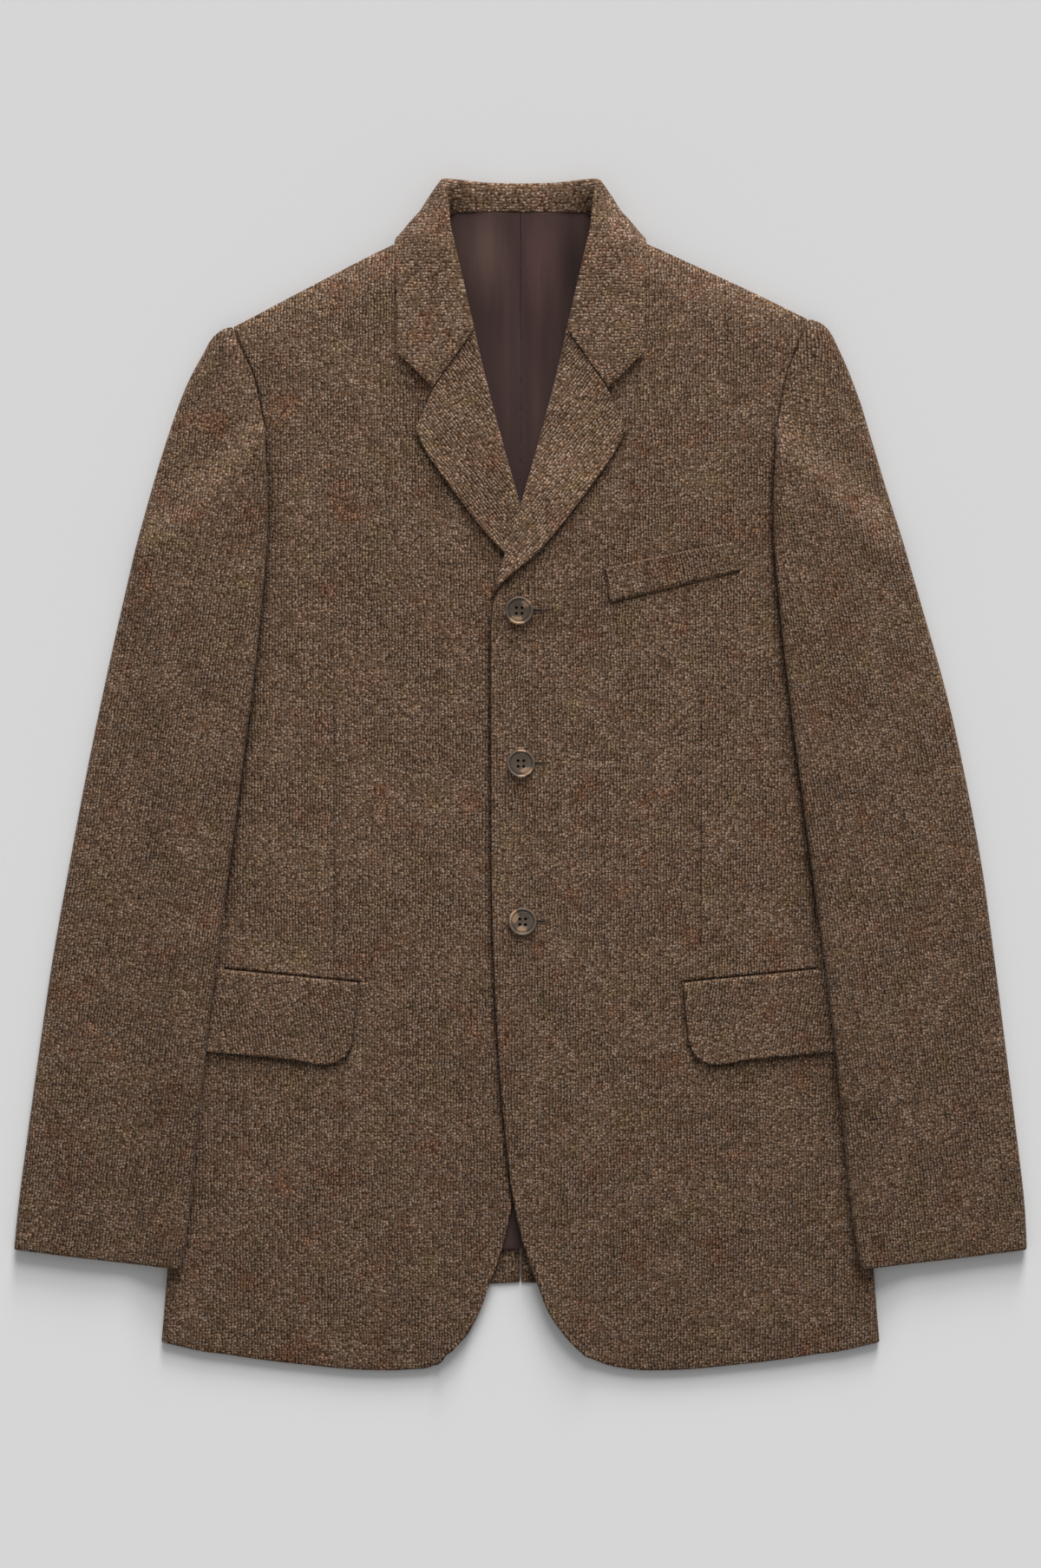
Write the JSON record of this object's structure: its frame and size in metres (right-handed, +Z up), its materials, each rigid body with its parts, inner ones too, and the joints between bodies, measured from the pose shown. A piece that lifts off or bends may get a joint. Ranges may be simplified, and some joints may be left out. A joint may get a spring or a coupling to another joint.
{
  "type": "tweed lounge jacket",
  "caption": "Single-breasted tweed lounge jacket, buttoned and laid flat on its back, with notch lapels, breast welt, flap pockets and rounded fronts.",
  "frame": {"origin": "centre of the jacket's outline on the surface that it lies on", "axes": "+X to the wearer's left, +Y from the hem to the collar, +Z up from the surface, out of the front"},
  "size_m": [0.7006, 0.8237, 0.0296],
  "materials": {
    "tweed": "brown wool tweed with light and dark nubs",
    "tweed_collar": "the same tweed, cut on another grain",
    "lining": "dark aubergine satin",
    "horn": "polished grey-brown horn"
  },
  "bodies": {
    "root": {"front_left": "tweed", "front_right": "tweed", "side_left": "tweed", "side_right": "tweed", "back_left": "tweed", "back_right": "tweed", "top_sleeve_left": "tweed", "top_sleeve_right": "tweed", "under_sleeve_left": "tweed", "under_sleeve_right": "tweed", "flap_left": "tweed", "flap_right": "tweed", "breast_welt": "tweed", "lapel_left": "tweed_collar", "lapel_right": "tweed_collar", "collar": "tweed_collar", "lining_left": "lining", "lining_right": "lining", "button_1": "horn", "button_2": "horn", "button_3": "horn"}
  },
  "joints": []
}
